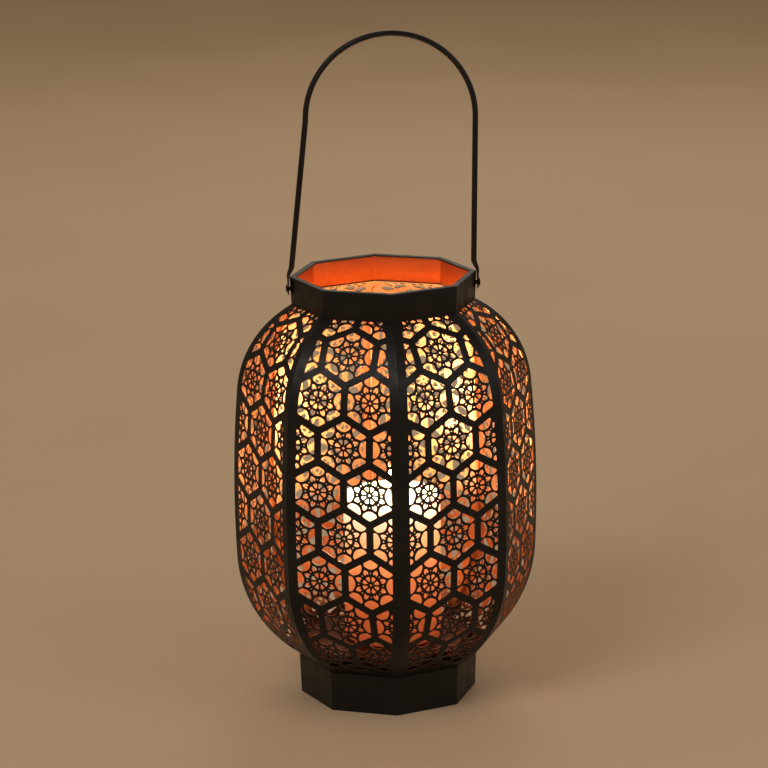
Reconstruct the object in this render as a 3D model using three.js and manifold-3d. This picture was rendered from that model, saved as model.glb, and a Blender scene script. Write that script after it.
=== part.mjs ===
// Moroccan metal lantern: an octagonal barrel of eight cut and bent steel panels between a
// collar band and a base band, with a riveted wire handle, a floor pan and a pillar candle.
//
// Millimetres, +Z up. The origin is on the table, under the middle of the lantern.
// The barrel's corners stand at multiples of 45 degrees, so two of them are on the X axis,
// where the handle is riveted, and the front corner faces -Y.

import * as THREE from "three";
import { mergeVertices } from "three/addons/utils/BufferGeometryUtils.js";
import Module from "manifold-3d";

const wasm = await Module();
wasm.setup();

// ---------------------------------------------------------------- driving dimensions

const SIDES = 8;
const GAP = 0.3; // clearance between pieces that touch on the real lantern

// Barrel outline, measured at its corners: a long side arc, a shoulder arc and a foot arc
const BELLY = { radius: 105.8, height: 143, arc: 880, steps: 4 };
const SHOULDER = { radius: 63.7, height: 280.0, arc: 73, steps: 5 };
const FOOT = { radius: 63.6, height: 29.0, arc: 92, steps: 5 };

// Fret panels: sheet, plain edge along each corner, and the honeycomb cut out of it
const PANEL_SHEET = 0.6;
const PANEL_EDGE = 6.0;
const CELL_PITCH = 36.4;
const CELL_BAR = 5.0;
const CELL_ROW_HEIGHT = 200.9; // height of the row that has a cell on the panel's centre line
const CELL_ROWS_UP = 3;
const CELL_ROWS_DOWN = 6;
const CELL_CUT_DEPTH = 24.0; // deep enough to pass through the sheet where it bends
const WINDOW_TOP = 280.0;
const WINDOW_BOTTOM = 34.0;

// Solder bead along the inside of each corner
const SEAM_RADIUS = 1.2;

// Collar and base bands, folded from strip; radii are at their corners
const BAND_SHEET = 1.2;
const COLLAR = { bottomRadius: 63.6, topRadius: 64.6, top: 299.6, lip: 4.6 };
const BASE = { bottomRadius: 61.6, topRadius: 62.6, hem: 8.0 };

// Floor pan: a tray turned upside down, its deep flange welded inside the base band
const PAN = { top: 39.6, sheet: 1.0, flange: 22.0 };

// Wire handle: round wire hammered flat where it is riveted to the collar's corners. The
// lug's stations give its height over the rivet and its half width and half thickness there.
const WIRE_RADIUS = 1.95;
const LUG_HALF_SHEET = 0.6;
const LUG_STATIONS = [
  { above: -4.5, wide: 2.2, thick: LUG_HALF_SHEET },
  { above: -2.9, wide: 3.4, thick: LUG_HALF_SHEET },
  { above: 0.0, wide: 3.8, thick: LUG_HALF_SHEET },
  { above: 4.0, wide: 3.8, thick: LUG_HALF_SHEET },
  { above: 10.0, wide: 2.6, thick: 0.9 },
];
const CRANK_END = 16.0; // height above the rivets where the wire is round again
const RIVET_HEIGHT = 291.4;
const LEG_RADIUS = 62.8; // distance of the round legs from the axis, above the collar
const ARCH_RADIUS = 58.1;
const ARCH_HEIGHT = 408.0;
const ARCH_LEAN = 6.5; // the hand-bent arch stands this far to the right of the axis
const ARCH_STEPS = 20;
const WIRE_SIDES = 12;

// Rivets
const RIVET = { shank: 1.5, head: 2.9, headHeight: 0.8, tail: 2.6, tailHeight: 1.2 };

// Pillar candle, burned down a little inside its rim, and its wick, which curls over to the
// left at the top. The candle is set down by hand, off the lantern's axis by the offset.
const CANDLE = { radius: 34.0, top: 143.0, edge: 2.0, rim: 4.0, well: 3.0, offset: 4.0 };
const WICK = { radius: 1.0, height: 10.0, buried: 10.0, curl: 1.4 };

// ---------------------------------------------------------------- derived dimensions

const HALF_SIDE_ANGLE = Math.PI / SIDES;
const CORNER_TO_FACE = Math.cos(HALF_SIDE_ANGLE); // face distance over corner distance
const BAND_SHEET_AT_CORNER = BAND_SHEET / CORNER_TO_FACE;
const LUG_CENTRE = COLLAR.topRadius + GAP + LUG_HALF_SHEET;
const WELL_FLOOR = CANDLE.top - CANDLE.well;

// ---------------------------------------------------------------- materials

function metal(color, roughness, metalness = 0.6) {
  return new THREE.MeshStandardMaterial({ color, roughness, metalness });
}

const blackPaint = metal(0x161513, 0.45);
const copperPaint = metal(0xc4722c, 0.38, 0.8);
const ivoryWax = metal(0xf1e3c2, 0.5, 0);
const charredCotton = metal(0x2a211b, 0.9, 0);

// ---------------------------------------------------------------- solids

// A closed surface as a solid that can be cut and joined
function toSolid(geometry) {
  const bare = geometry.index ? geometry.toNonIndexed() : geometry.clone();
  bare.deleteAttribute("normal");
  bare.deleteAttribute("uv");
  const merged = mergeVertices(bare, 1e-4);
  const vertProperties = new Float32Array(merged.attributes.position.array);
  const triVerts = new Uint32Array(merged.index.array);
  return new wasm.Manifold(new wasm.Mesh({ numProp: 3, vertProperties, triVerts }));
}

// A solid as the surface that shows
function toGeometry(solid) {
  const mesh = solid.getMesh();
  const geometry = new THREE.BufferGeometry();
  geometry.setAttribute("position", new THREE.BufferAttribute(mesh.vertProperties, 3));
  geometry.setIndex(new THREE.BufferAttribute(mesh.triVerts, 1));
  geometry.computeVertexNormals();
  return geometry;
}

// An outline in the plane of radius and height, pulled out to both sides of that plane
function slab(outline, width) {
  const shape = new THREE.Shape(outline);
  const geometry = new THREE.ExtrudeGeometry(shape, { depth: width, bevelEnabled: false });
  geometry.translate(0, 0, -width / 2);
  geometry.rotateX(Math.PI / 2);
  return geometry;
}

// A closed outline of radius and height turned round the lantern's axis
function turned(outline, segments) {
  const closed = [...outline, outline[0]];
  const geometry = new THREE.LatheGeometry(closed, segments);
  geometry.rotateX(Math.PI / 2);
  return geometry;
}

// The wedge of space that one side of the lantern takes up, pulled back from its two corners
function sideWedge(pullBack, bottom, top) {
  const reach = 2 * BELLY.radius;
  const start = pullBack / Math.sin(HALF_SIDE_ANGLE);
  const spread = (reach - start) * Math.tan(HALF_SIDE_ANGLE);
  const shape = new THREE.Shape();
  shape.moveTo(start, 0);
  shape.lineTo(reach, -spread);
  shape.lineTo(reach, spread);
  const geometry = new THREE.ExtrudeGeometry(shape, { depth: top - bottom, bevelEnabled: false });
  geometry.translate(0, 0, bottom);
  return geometry;
}

// ---------------------------------------------------------------- barrel outline

// Centre of the arc that runs smoothly out of the side arc and ends at the given point
function smoothArcCentre(end) {
  const belly = new THREE.Vector2(BELLY.radius - BELLY.arc, BELLY.height);
  const target = new THREE.Vector2(end.radius, end.height);
  const reach = BELLY.arc - end.arc;
  const line = target.clone().sub(belly);
  const span = line.length();
  const along = (reach * reach - end.arc * end.arc + span * span) / (2 * span);
  const across = Math.sqrt(reach * reach - along * along);
  line.normalize();
  const towardsBelly = end.height > BELLY.height ? -1 : 1;
  const side = new THREE.Vector2(-line.y, line.x).multiplyScalar(towardsBelly * across);
  return belly.add(line.multiplyScalar(along)).add(side);
}

// The outline's three arcs from top to bottom, each with its centre, radius and two angles.
// Both ends run on past the bands' outer faces, to where the sheet is tucked inside them.
function outlineArcs() {
  const side = new THREE.Vector2(BELLY.radius - BELLY.arc, BELLY.height);
  const shoulder = smoothArcCentre(SHOULDER);
  const foot = smoothArcCentre(FOOT);
  const upper = Math.atan2(shoulder.y - side.y, shoulder.x - side.x);
  const lower = Math.atan2(foot.y - side.y, foot.x - side.x);
  const tucked = BAND_SHEET_AT_CORNER + GAP;
  const topAngle = Math.acos((COLLAR.bottomRadius - tucked - shoulder.x) / SHOULDER.arc);
  const bottomAngle = -Math.acos((BASE.topRadius - tucked - foot.x) / FOOT.arc);
  return [
    { centre: shoulder, radius: SHOULDER.arc, from: topAngle, to: upper, steps: SHOULDER.steps },
    { centre: side, radius: BELLY.arc, from: upper, to: lower, steps: BELLY.steps },
    { centre: foot, radius: FOOT.arc, from: lower, to: bottomAngle, steps: FOOT.steps },
  ];
}

const ARCS = outlineArcs();

// Corner radius and height on an arc, moved inwards by an inset, with the radius scaled
function arcPoint(arc, angle, inset = 0, scale = 1) {
  const radius = arc.radius - inset;
  const x = (arc.centre.x + radius * Math.cos(angle)) * scale;
  return new THREE.Vector2(x, arc.centre.y + radius * Math.sin(angle));
}

// The whole outline from top to bottom as a list of points
function outlinePoints(inset, scale) {
  const points = [];
  for (const arc of ARCS) {
    const first = points.length ? 1 : 0;
    for (let i = first; i <= arc.steps; i += 1) {
      const angle = arc.from + ((arc.to - arc.from) * i) / arc.steps;
      points.push(arcPoint(arc, angle, inset, scale));
    }
  }
  return points;
}

// The outline down the middle of one side as a curve, for spacing the rows along it
class SideCurve extends THREE.Curve {
  getPoint(t) {
    const sweep = ARCS.map((arc) => arc.radius * (arc.from - arc.to));
    let left = t * (sweep[0] + sweep[1] + sweep[2]);
    let index = 0;
    while (index < ARCS.length - 1 && left > sweep[index]) {
      left -= sweep[index];
      index += 1;
    }
    const arc = ARCS[index];
    const point = arcPoint(arc, arc.from - left / arc.radius, 0, CORNER_TO_FACE);
    return new THREE.Vector3(point.x, 0, point.y);
  }
}

// Height of the barrel's surface at a corner radius near the neck or near the foot
function surfaceHeight(arc, cornerRadius) {
  const rise = Math.sqrt(arc.radius ** 2 - (cornerRadius - arc.centre.x) ** 2);
  return arc.centre.y + Math.sign(arc.from + arc.to) * rise;
}

// ---------------------------------------------------------------- fret panels

// Distance along the side curve at which it passes a height
function distanceAtHeight(curve, height) {
  let low = 0;
  let high = 1;
  for (let i = 0; i < 40; i += 1) {
    const middle = (low + high) / 2;
    if (curve.getPointAt(middle).z > height) low = middle;
    else high = middle;
  }
  return low * curve.getLength();
}

// A six-sided cutter that stands square on the side's surface, with a corner at its top
function cellCutter(curve, distance, across) {
  const clearRadius = (CELL_PITCH - CELL_BAR) / 2 / Math.cos(Math.PI / 6);
  const t = distance / curve.getLength();
  const centre = curve.getPointAt(t);
  const tangent = curve.getTangentAt(t);
  const cutter = new THREE.CylinderGeometry(clearRadius, clearRadius, CELL_CUT_DEPTH, 6);
  cutter.rotateZ(Math.PI / 2);
  cutter.rotateY(Math.atan2(-tangent.x, -tangent.z));
  cutter.translate(centre.x, across, centre.z);
  return toSolid(cutter);
}

// All the cells of one side, kept off its plain edges and off both bands
function honeycomb() {
  const curve = new SideCurve();
  curve.arcLengthDivisions = 600;
  const rowPitch = CELL_PITCH * Math.cos(Math.PI / 6);
  const start = distanceAtHeight(curve, CELL_ROW_HEIGHT);
  let cells = null;
  for (let row = -CELL_ROWS_UP; row <= CELL_ROWS_DOWN; row += 1) {
    const distance = start + row * rowPitch;
    if (distance < 0 || distance > curve.getLength()) continue;
    const offsets = row % 2 === 0 ? [-1, 0, 1] : [-0.5, 0.5];
    for (const offset of offsets) {
      const cell = cellCutter(curve, distance, offset * CELL_PITCH);
      cells = cells ? cells.add(cell) : cell;
    }
  }
  const window = toSolid(sideWedge(PANEL_EDGE, WINDOW_BOTTOM, WINDOW_TOP));
  return cells.intersect(window);
}

// One side of the barrel: a bent sheet, mitred at both corners, with the honeycomb cut out
function fretPanel() {
  const outer = outlinePoints(0, CORNER_TO_FACE);
  const inner = outlinePoints(PANEL_SHEET, CORNER_TO_FACE).reverse();
  const sheet = toSolid(slab([...outer, ...inner], 2 * BELLY.radius));
  const wedge = toSolid(sideWedge(GAP / 2, 0, COLLAR.top));
  return toGeometry(sheet.intersect(wedge).subtract(honeycomb()));
}

function addPanels(group) {
  const geometry = fretPanel();
  for (let i = 0; i < SIDES; i += 1) {
    const panel = new THREE.Mesh(geometry, blackPaint);
    panel.name = `fret_panel_${i + 1}`;
    panel.rotation.z = (2 * i + 1) * HALF_SIDE_ANGLE - Math.PI / 2;
    group.add(panel);
  }
}

// ---------------------------------------------------------------- corner seams

// A solder bead that lies in the inside corner, clear of both sheets
function cornerSeam() {
  const toCentre = PANEL_SHEET + GAP + SEAM_RADIUS / CORNER_TO_FACE;
  const path = outlinePoints(toCentre + GAP, 1).slice(1, -1);
  const points = path.map((point) => new THREE.Vector3(point.x, 0, point.y));
  const section = new THREE.Shape();
  section.absarc(0, 0, SEAM_RADIUS, 0, 2 * Math.PI);
  const sweep = {
    extrudePath: new THREE.CatmullRomCurve3(points),
    steps: 13,
    curveSegments: 3,
    bevelEnabled: false,
  };
  return new THREE.ExtrudeGeometry(section, sweep);
}

function addSeams(group) {
  const geometry = cornerSeam();
  for (let i = 0; i < SIDES; i += 1) {
    const seam = new THREE.Mesh(geometry, copperPaint);
    seam.name = `corner_seam_${i + 1}`;
    seam.rotation.z = 2 * i * HALF_SIDE_ANGLE - Math.PI / 2;
    group.add(seam);
  }
}

// ---------------------------------------------------------------- collar, base and floor

// A round cutter along X through the two corners that carry the handle
function rivetHoles(radius) {
  const length = 3 * COLLAR.topRadius;
  const cutter = new THREE.CylinderGeometry(radius, radius, length, 16);
  cutter.rotateZ(Math.PI / 2);
  cutter.translate(0, 0, RIVET_HEIGHT);
  return toSolid(cutter);
}

// The upright band round the mouth: its lower edge lies along the shoulder, and its top edge is
// folded inwards to a flat lip
function collarBand() {
  const innerBottom = COLLAR.bottomRadius - BAND_SHEET_AT_CORNER;
  const outline = [
    new THREE.Vector2(COLLAR.bottomRadius, surfaceHeight(ARCS[0], COLLAR.bottomRadius) + GAP),
    new THREE.Vector2(COLLAR.topRadius, COLLAR.top),
    new THREE.Vector2(COLLAR.topRadius - COLLAR.lip, COLLAR.top),
    new THREE.Vector2(COLLAR.topRadius - COLLAR.lip, COLLAR.top - BAND_SHEET),
    new THREE.Vector2(COLLAR.topRadius - BAND_SHEET_AT_CORNER, COLLAR.top - BAND_SHEET),
    new THREE.Vector2(innerBottom, surfaceHeight(ARCS[0], innerBottom) + GAP),
  ];
  const band = toSolid(turned(outline, SIDES));
  return toGeometry(band.subtract(rivetHoles(RIVET.shank + GAP)));
}

// The foot band, with its lower edge hemmed inwards for the lantern to stand on
function baseBand() {
  const sheet = BAND_SHEET_AT_CORNER;
  const innerTop = BASE.topRadius - sheet;
  const innerBottom = BASE.bottomRadius - sheet;
  const outline = [
    new THREE.Vector2(BASE.bottomRadius - BASE.hem, 0),
    new THREE.Vector2(BASE.bottomRadius, 0),
    new THREE.Vector2(BASE.topRadius, surfaceHeight(ARCS[2], BASE.topRadius) - GAP),
    new THREE.Vector2(innerTop, surfaceHeight(ARCS[2], innerTop) - GAP),
    new THREE.Vector2(innerBottom, BAND_SHEET),
    new THREE.Vector2(BASE.bottomRadius - BASE.hem, BAND_SHEET),
  ];
  return turned(outline, SIDES);
}

// The pan that the candle stands on: a flat plate with a deep flange turned down all round
function floorPan() {
  const radius = BASE.bottomRadius - BAND_SHEET_AT_CORNER - GAP;
  const sheet = PAN.sheet / CORNER_TO_FACE;
  const outline = [
    new THREE.Vector2(0, PAN.top),
    new THREE.Vector2(0, PAN.top - PAN.sheet),
    new THREE.Vector2(radius - sheet, PAN.top - PAN.sheet),
    new THREE.Vector2(radius - sheet, PAN.top - PAN.flange),
    new THREE.Vector2(radius, PAN.top - PAN.flange),
    new THREE.Vector2(radius, PAN.top),
  ];
  return turned(outline, SIDES);
}

// ---------------------------------------------------------------- handle

// Stops of one leg from its lug's lower end to where the wire is round again
function legStops(side) {
  const stops = LUG_STATIONS.map((station) => ({
    x: side * LUG_CENTRE,
    z: RIVET_HEIGHT + station.above,
    wide: station.wide,
    thick: station.thick,
  }));
  const end = { x: side * LEG_RADIUS, z: RIVET_HEIGHT + CRANK_END };
  return [...stops, { ...end, wide: WIRE_RADIUS, thick: WIRE_RADIUS }];
}

// Centre line of the handle from the left lug over the arch to the right lug. Each stop has
// a place, and the wire's half width along the lantern's Y axis and half thickness there.
function handleStops() {
  const arch = [];
  for (let i = 0; i <= ARCH_STEPS; i += 1) {
    const angle = Math.PI * (1 - i / ARCH_STEPS);
    const x = ARCH_LEAN + ARCH_RADIUS * Math.cos(angle);
    const z = ARCH_HEIGHT + ARCH_RADIUS * Math.sin(angle);
    arch.push({ x, z, wide: WIRE_RADIUS, thick: WIRE_RADIUS });
  }
  return [...legStops(-1), ...arch, ...legStops(1).reverse()];
}

// One ring of points round each stop, joined into a closed skin
function handleSkin() {
  const stops = handleStops();
  const positions = [];
  stops.forEach((stop, i) => {
    const before = stops[Math.max(i - 1, 0)];
    const after = stops[Math.min(i + 1, stops.length - 1)];
    const along = new THREE.Vector2(after.x - before.x, after.z - before.z).normalize();
    for (let j = 0; j < WIRE_SIDES; j += 1) {
      const angle = (2 * Math.PI * j) / WIRE_SIDES;
      const out = stop.thick * Math.cos(angle);
      const across = stop.wide * Math.sin(angle);
      positions.push(stop.x - along.y * out, across, stop.z + along.x * out);
    }
  });
  const index = [];
  for (let i = 0; i + 1 < stops.length; i += 1) {
    for (let j = 0; j < WIRE_SIDES; j += 1) {
      const a = i * WIRE_SIDES + j;
      const b = i * WIRE_SIDES + ((j + 1) % WIRE_SIDES);
      index.push(a, a + WIRE_SIDES, b, b, a + WIRE_SIDES, b + WIRE_SIDES);
    }
  }
  const last = (stops.length - 1) * WIRE_SIDES;
  for (let j = 1; j + 1 < WIRE_SIDES; j += 1) {
    index.push(0, j, j + 1);
    index.push(last, last + j + 1, last + j);
  }
  const geometry = new THREE.BufferGeometry();
  geometry.setAttribute("position", new THREE.Float32BufferAttribute(positions, 3));
  geometry.setIndex(index);
  return geometry;
}

// The handle with its two rivet holes
function handleBail() {
  return toGeometry(toSolid(handleSkin()).subtract(rivetHoles(RIVET.shank + GAP)));
}

// A low domed rivet along X: head outside the lug, shank through the corner, tail set inside
function rivet() {
  const headFace = LUG_CENTRE + LUG_HALF_SHEET + GAP;
  const corner = COLLAR.bottomRadius - BAND_SHEET_AT_CORNER;
  const tailFace = corner - RIVET.tail * Math.tan(HALF_SIDE_ANGLE) - GAP;
  const outline = [
    new THREE.Vector2(0, tailFace - RIVET.tailHeight),
    new THREE.Vector2(RIVET.tail, tailFace - RIVET.tailHeight),
    new THREE.Vector2(RIVET.tail, tailFace),
    new THREE.Vector2(RIVET.shank, tailFace),
    new THREE.Vector2(RIVET.shank, headFace),
  ];
  const domeSteps = 3;
  for (let i = 0; i < domeSteps; i += 1) {
    const angle = (Math.PI * i) / (2 * domeSteps);
    const height = headFace + RIVET.headHeight * Math.sin(angle);
    outline.push(new THREE.Vector2(RIVET.head * Math.cos(angle), height));
  }
  outline.push(new THREE.Vector2(0, headFace + RIVET.headHeight));
  const geometry = new THREE.LatheGeometry(outline, 16);
  geometry.rotateZ(-Math.PI / 2);
  return geometry;
}

function addRivets(group) {
  const geometry = rivet();
  for (const [name, turn] of [["handle_rivet_right", 0], ["handle_rivet_left", Math.PI]]) {
    const piece = new THREE.Mesh(geometry, blackPaint);
    piece.name = name;
    piece.position.z = RIVET_HEIGHT;
    piece.rotation.z = turn;
    group.add(piece);
  }
}

// ---------------------------------------------------------------- candle

// A straight pillar with softened edges, hollowed into a well, with a hole for the wick
function candle() {
  const bottom = PAN.top + GAP;
  const hole = WICK.radius + GAP;
  const holeBottom = WELL_FLOOR - WICK.buried - GAP;
  const outline = [
    new THREE.Vector2(0, bottom),
    new THREE.Vector2(CANDLE.radius - CANDLE.edge, bottom),
    new THREE.Vector2(CANDLE.radius, bottom + CANDLE.edge),
    new THREE.Vector2(CANDLE.radius, CANDLE.top - CANDLE.edge),
    new THREE.Vector2(CANDLE.radius - CANDLE.edge, CANDLE.top),
  ];
  const wellRadius = CANDLE.radius - CANDLE.rim;
  const wellSteps = 5;
  for (let i = 0; i <= wellSteps; i += 1) {
    const radius = wellRadius + ((hole - wellRadius) * i) / wellSteps;
    const depth = CANDLE.well * (1 - (radius / wellRadius) ** 3);
    outline.push(new THREE.Vector2(radius, CANDLE.top - depth));
  }
  outline.push(new THREE.Vector2(hole, holeBottom));
  outline.push(new THREE.Vector2(0, holeBottom));
  const geometry = new THREE.LatheGeometry(outline, 32);
  geometry.rotateX(Math.PI / 2);
  return geometry;
}

// A round wick that stands in the hole and curls over a little at its top
function wick() {
  const points = [
    new THREE.Vector3(0, 0, WELL_FLOOR - WICK.buried),
    new THREE.Vector3(0, 0, WELL_FLOOR),
    new THREE.Vector3(-WICK.curl / 6, 0, WELL_FLOOR + WICK.height / 2),
    new THREE.Vector3(-WICK.curl, 0, WELL_FLOOR + WICK.height),
  ];
  const section = new THREE.Shape();
  section.absarc(0, 0, WICK.radius, 0, 2 * Math.PI);
  const sweep = {
    extrudePath: new THREE.CatmullRomCurve3(points),
    steps: 8,
    curveSegments: 4,
    bevelEnabled: false,
  };
  return new THREE.ExtrudeGeometry(section, sweep);
}

// ---------------------------------------------------------------- assembly

function addPiece(group, name, geometry, material) {
  const piece = new THREE.Mesh(geometry, material);
  piece.name = name;
  group.add(piece);
  return piece;
}

const lantern = new THREE.Group();
addPanels(lantern);
addSeams(lantern);
addPiece(lantern, "collar_band", collarBand(), blackPaint);
addPiece(lantern, "base_band", baseBand(), blackPaint);
addPiece(lantern, "floor_pan", floorPan(), copperPaint);
addPiece(lantern, "handle_bail", handleBail(), blackPaint);
addRivets(lantern);
addPiece(lantern, "candle", candle(), ivoryWax).position.x = CANDLE.offset;
addPiece(lantern, "wick", wick(), charredCotton).position.x = CANDLE.offset;

export default lantern;
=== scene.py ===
"""Looks of the moroccan metal lantern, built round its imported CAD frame.

Lengths are in millimetres until a mesh is made, when they become metres. Heights in materials,
the floor, the camera and the lights are in metres. The frame is the CAD's: +Z up, the origin on
the table under the middle, a corner of the barrel on each of +-X and +-Y.
"""

import math
import random

import bmesh
import bpy
import numpy as np
from mathutils import Matrix, Vector, noise
from mathutils.geometry import delaunay_2d_cdt


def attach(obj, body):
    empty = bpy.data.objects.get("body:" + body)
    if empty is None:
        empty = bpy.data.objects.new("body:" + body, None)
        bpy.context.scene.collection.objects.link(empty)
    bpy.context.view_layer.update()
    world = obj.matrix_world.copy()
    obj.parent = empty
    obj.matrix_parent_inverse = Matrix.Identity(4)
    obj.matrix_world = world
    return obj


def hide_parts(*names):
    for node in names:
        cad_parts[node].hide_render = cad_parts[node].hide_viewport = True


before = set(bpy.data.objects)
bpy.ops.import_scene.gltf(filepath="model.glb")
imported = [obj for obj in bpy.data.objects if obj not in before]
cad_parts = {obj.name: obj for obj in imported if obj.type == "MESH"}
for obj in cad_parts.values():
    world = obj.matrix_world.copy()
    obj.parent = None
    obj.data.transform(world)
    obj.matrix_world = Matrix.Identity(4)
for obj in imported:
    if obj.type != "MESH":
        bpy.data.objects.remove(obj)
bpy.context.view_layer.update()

MM = 0.001
SIDES = 8
HALF_SIDE = math.pi / SIDES
# The radius to the middle of an octagon's side, for a corner radius of one
TO_FACE = math.cos(HALF_SIDE)
# What stands for a weld, a solder joint or a loose fit between two pieces
GAP = 0.3

# ------------------------------------------------------------------ sizes shared with the CAD

# The outline down a corner: a point on each arc as corner radius and height, and the arc's radius
BELLY = dict(radius=105.8, height=143.0, arc=880.0)
SHOULDER = dict(radius=63.7, height=280.0, arc=73.0)
FOOT = dict(radius=63.6, height=29.0, arc=92.0)
SHEET = 0.6
MITRE_GAP = GAP / 30
# The honeycomb: the plain margin at the corners, the cells' pitch, the bar between two cells, the
# height of row 0, the rows from top to bottom, and the heights between which it is cut
EDGE = 6.0
PITCH = 36.4
BAR = 5.0
ROW_HEIGHT = 200.9
ROWS = range(-3, 7)
WINDOW = (34.0, 280.0)
SEAM = dict(radius=1.2, stops=26, skip_top=4, skip_foot=3, uneven=0.08, around=12)
BAND = 1.2
BAND_CORNER = BAND / TO_FACE
COLLAR = dict(bottom=63.6, top=64.6, height=299.6, lip=4.6)
BASE = dict(bottom=61.6, top=62.6, hem=8.0)
PAN = dict(top=39.6, sheet=1.0, flange=22.0)
WIRE = 1.95
LUG = dict(wide=3.8, thick=0.6, below=4.5, straight=2.5)
LUG_CENTRE = COLLAR["top"] + GAP + LUG["thick"]
CRANK = dict(start=4.5, end=16.0)
RIVET_HEIGHT = 291.4
LEG_RADIUS = 62.8
ARCH = dict(radius=58.1, height=408.0, lean=6.5)
RIVET = dict(shank=1.5, head=2.9, head_height=0.8, tail=2.6, tail_height=1.2)
CANDLE = dict(radius=34.0, top=143.0, edge=2.0, rim=4.0, well=3.0, offset=4.0)
WICK = dict(radius=1.0, height=10.0, buried=10.0, curl=1.4)
WELL_FLOOR = CANDLE["top"] - CANDLE["well"]

# ------------------------------------------------------------------ sizes beyond the CAD's

RIVET_EDGES = dict(head_rim=0.2, head_under=0.15, tail=0.3, around=32, dome=8)
POOL = dict(radius=25.0, depth=0.9, level=1.1)
# The surface of the melted wax where it creeps up the wick: (radius, height above its level)
CREEP_UP = [(2.6, 0.05), (1.7, 0.2), (1.2, 0.6), (0.0, 0.9)]
FLAME = dict(foot=145.5, tip=164.5, radius=3.5, x=2.7, lean=0.6, glow=16.0, watts=0.65)
CAMERA = dict(turn=5.4, tilt=-14.55, roll=-0.77, lens=178.1, place=(-0.2400, -2.5346, 0.8820))
FLOOR_HALF = 14.0
LIGHTS_AIM = (0.0, 0.0, 0.18)

# ------------------------------------------------------------------ colours

BLACK = dict(
    thick=(0.0045, 0.004, 0.0036),
    thin=(0.011, 0.0095, 0.0085),
    dust=(0.032, 0.024, 0.018),
)
# Two mixes of copper lacquer. upper is a painted tone near the top, over these heights in metres:
# painted light on the panels, painted shade on the collar
PANEL_COPPER = dict(
    thin=(0.88, 0.48, 0.24),
    usual=(0.78, 0.38, 0.17),
    thick=(0.62, 0.27, 0.10),
    worn=(0.92, 0.56, 0.30),
    # Painted light: paler and yellower at the top, where the flame lights the panels' shoulder
    upper=(1.0, 0.78, 0.42),
    upper_over=(0.262, 0.281),
)
COLLAR_COPPER = dict(
    thin=(0.80, 0.20, 0.035),
    usual=(0.72, 0.15, 0.02),
    thick=(0.56, 0.10, 0.012),
    worn=(0.84, 0.24, 0.05),
    # Painted shade: duller and darker towards the collar's top rim
    upper=(0.34, 0.10, 0.045),
    upper_over=(0.287, 0.2975),
)
CUT_EDGE = dict(bare=(0.20, 0.075, 0.024), sprayed=(0.46, 0.19, 0.07))
IVORY = dict(deep=(0.86, 0.70, 0.48), pale=(0.95, 0.84, 0.64), painted_glow_amber=(0.78, 0.38, 0.12))
MELTED = dict(deep=(0.92, 0.72, 0.42), pale=(0.97, 0.84, 0.60))
COTTON = dict(waxed=(0.42, 0.28, 0.14), char=(0.01, 0.008, 0.007), ash=(0.05, 0.035, 0.028))
FLAME_COLOURS = [
    (0.0, (0.05, 0.12, 0.5)),
    (0.16, (0.9, 0.42, 0.12)),
    (0.4, (1.0, 0.72, 0.34)),
    (0.78, (1.0, 0.62, 0.2)),
    (1.0, (1.0, 0.36, 0.07)),
]
FLAME_LIGHT = (1.0, 0.69, 0.42)
FLOOR = dict(deep=(0.70, 0.53, 0.355), pale=(0.74, 0.56, 0.38))
STUDIO = dict(colour=(0.66, 0.51, 0.36, 1.0), strength=0.36)
# Everything inside is darkened with painted shade up to the first of these heights and plain from
# the second, in metres
LOW_PAINTED_SHADE = (0.0402, 0.056)
LOW_PAINTED_SHADE_COLOUR = (0.034, 0.014, 0.009)
# The painted glow inside the wax, standing in for the flame's light in it, by the share of the way
# up to its top
GLOW_FROM = 40.0
PAINTED_WAX_GLOW = [
    (0.0, (0.09, 0.008, 0.002)),
    (0.2, (0.16, 0.022, 0.006)),
    (0.48, (0.40, 0.09, 0.018)),
    (0.62, (0.47, 0.17, 0.055)),
    (0.73, (0.62, 0.34, 0.14)),
    (0.83, (0.82, 0.55, 0.32)),
    (0.9, (1.1, 1.0, 0.72)),
    (1.0, (1.4, 1.3, 1.0)),
]

# ------------------------------------------------------------------ materials


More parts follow.
